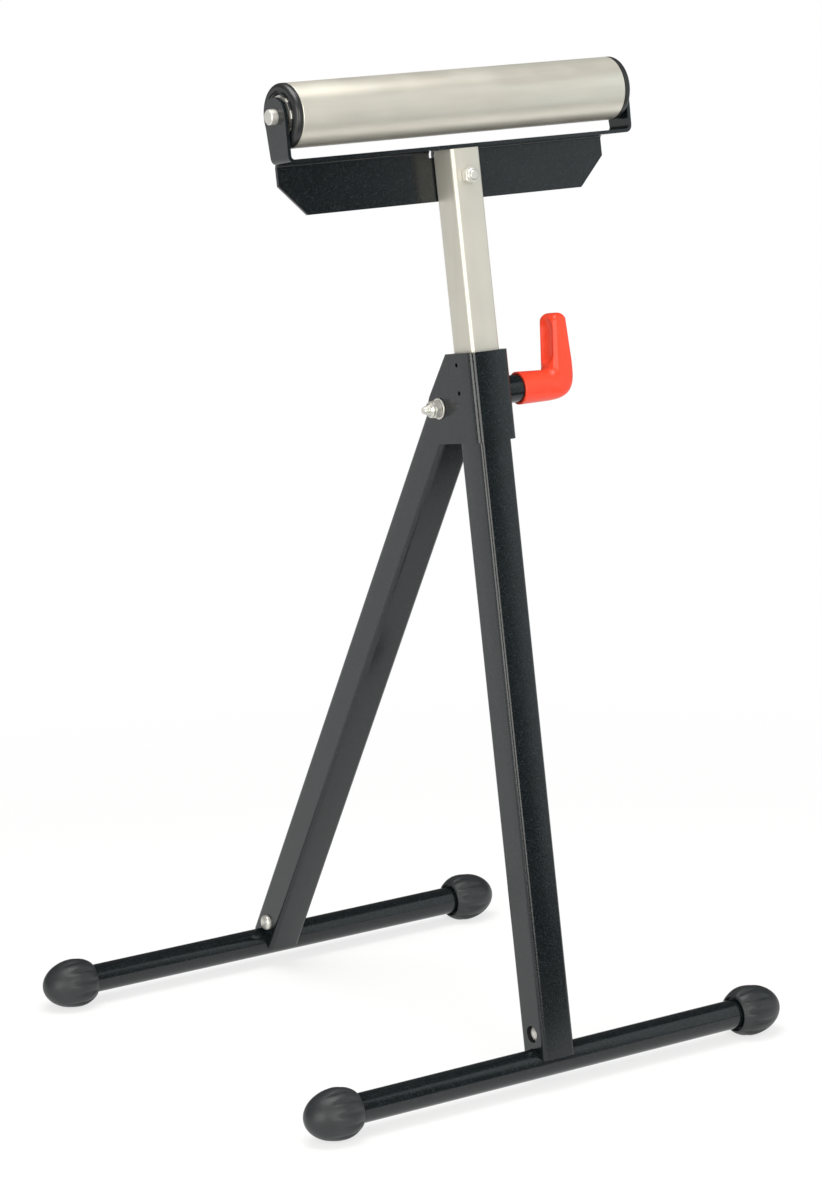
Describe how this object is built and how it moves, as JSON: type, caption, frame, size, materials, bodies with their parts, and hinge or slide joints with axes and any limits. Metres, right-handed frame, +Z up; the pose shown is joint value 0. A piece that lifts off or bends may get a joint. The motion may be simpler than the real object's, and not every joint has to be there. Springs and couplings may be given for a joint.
{
  "type": "folding roller stand",
  "caption": "Free-turning work roller on a height-adjustable post with a side clamp, carried by hinged square-tube legs on round foot bars with rubber end caps.",
  "frame": {"origin": "on the floor, midway between the four rubber feet", "axes": "+Z up, X along the roller and the foot bars, -Y towards the front leg's side"},
  "size_m": [0.491, 0.48, 0.8489],
  "materials": {
    "black_paint": "semi-gloss black paint",
    "bright_steel": "satin bright steel",
    "zinc_steel": "bright zinc plate",
    "black_plastic": "moulded black plastic",
    "black_rubber": "satin black rubber",
    "red_plastic": "moulded red plastic"
  },
  "bodies": {
    "front_frame": {"front_leg": "black_paint", "collar": "black_paint", "clamp_boss": "black_paint", "front_foot_bar": "black_paint", "front_foot_spigot": "black_paint", "foot_cap_front_left": "black_rubber", "foot_cap_front_right": "black_rubber", "pivot_bolt": "zinc_steel", "pivot_nut": "zinc_steel", "pivot_washer_left": "zinc_steel", "pivot_washer_right": "zinc_steel"},
    "rear_frame": {"rear_leg": "black_paint", "rear_foot_bar": "black_paint", "rear_foot_spigot": "black_paint", "foot_cap_rear_left": "black_rubber", "foot_cap_rear_right": "black_rubber"},
    "head": {"post": "bright_steel", "roller_bracket": "black_paint", "head_bolt": "zinc_steel", "head_nut": "zinc_steel", "roller_axle": "zinc_steel", "bearing_inner_race_left": "zinc_steel", "bearing_inner_race_right": "zinc_steel"},
    "roller": {"roller_tube": "bright_steel", "roller_end_cap_left": "black_plastic", "roller_end_cap_right": "black_plastic", "bearing_outer_race_left": "zinc_steel", "bearing_outer_race_right": "zinc_steel"},
    "left_ball_cage": {"bearing_ball_cage_left": "zinc_steel"},
    "right_ball_cage": {"bearing_ball_cage_right": "zinc_steel"},
    "clamp_screw": {"clamp_screw": "zinc_steel"},
    "clamp_handle": {"clamp_handle": "red_plastic"},
    "front_button": {"front_foot_button": "zinc_steel"},
    "rear_button": {"rear_foot_button": "zinc_steel"}
  },
  "joints": [
    {"name": "rear_leg_fold", "type": "hinge", "parent": "front_frame", "child": "rear_frame", "pos_m": [0, -0.1025, 0.56798], "axis": [-1, 0, 0], "range_deg": [0, 38.2]},
    {"name": "post_slide", "type": "slide", "parent": "front_frame", "child": "head", "axis": [0, 0.1461, 0.9893], "range_m": [-0.11, 0.29]},
    {"name": "roller_spin", "type": "hinge", "parent": "head", "child": "roller", "pos_m": [0, -0.09982, 0.82232], "axis": [1, 0, 0], "continuous": true},
    {"name": "left_cage_spin", "type": "hinge", "parent": "head", "child": "left_ball_cage", "pos_m": [0, -0.09982, 0.82232], "axis": [1, 0, 0], "continuous": true},
    {"name": "right_cage_spin", "type": "hinge", "parent": "head", "child": "right_ball_cage", "pos_m": [0, -0.09982, 0.82232], "axis": [1, 0, 0], "continuous": true},
    {"name": "clamp_feed", "type": "slide", "parent": "front_frame", "child": "clamp_screw", "axis": [1, 0, 0], "range_m": [0, 0.0016]},
    {"name": "clamp_turn", "type": "hinge", "parent": "clamp_screw", "child": "clamp_handle", "pos_m": [0, -0.13517, 0.58292], "axis": [1, 0, 0], "range_deg": [0, 360]},
    {"name": "front_button_press", "type": "slide", "parent": "front_frame", "child": "front_button", "axis": [1, 0, 0], "range_m": [0, 0.003], "stiffness_N_per_m": 600, "springref_m": -0.004},
    {"name": "rear_button_press", "type": "slide", "parent": "rear_frame", "child": "rear_button", "axis": [1, 0, 0], "range_m": [0, 0.0065], "stiffness_N_per_m": 600, "springref_m": -0.004}
  ],
  "couplings": [
    {"joint": "left_cage_spin", "follows": "roller_spin", "ratio": 0.5984},
    {"joint": "right_cage_spin", "follows": "roller_spin", "ratio": 0.5984},
    {"joint": "clamp_feed", "follows": "clamp_turn", "m_per_rad": 0.00023873}
  ]
}
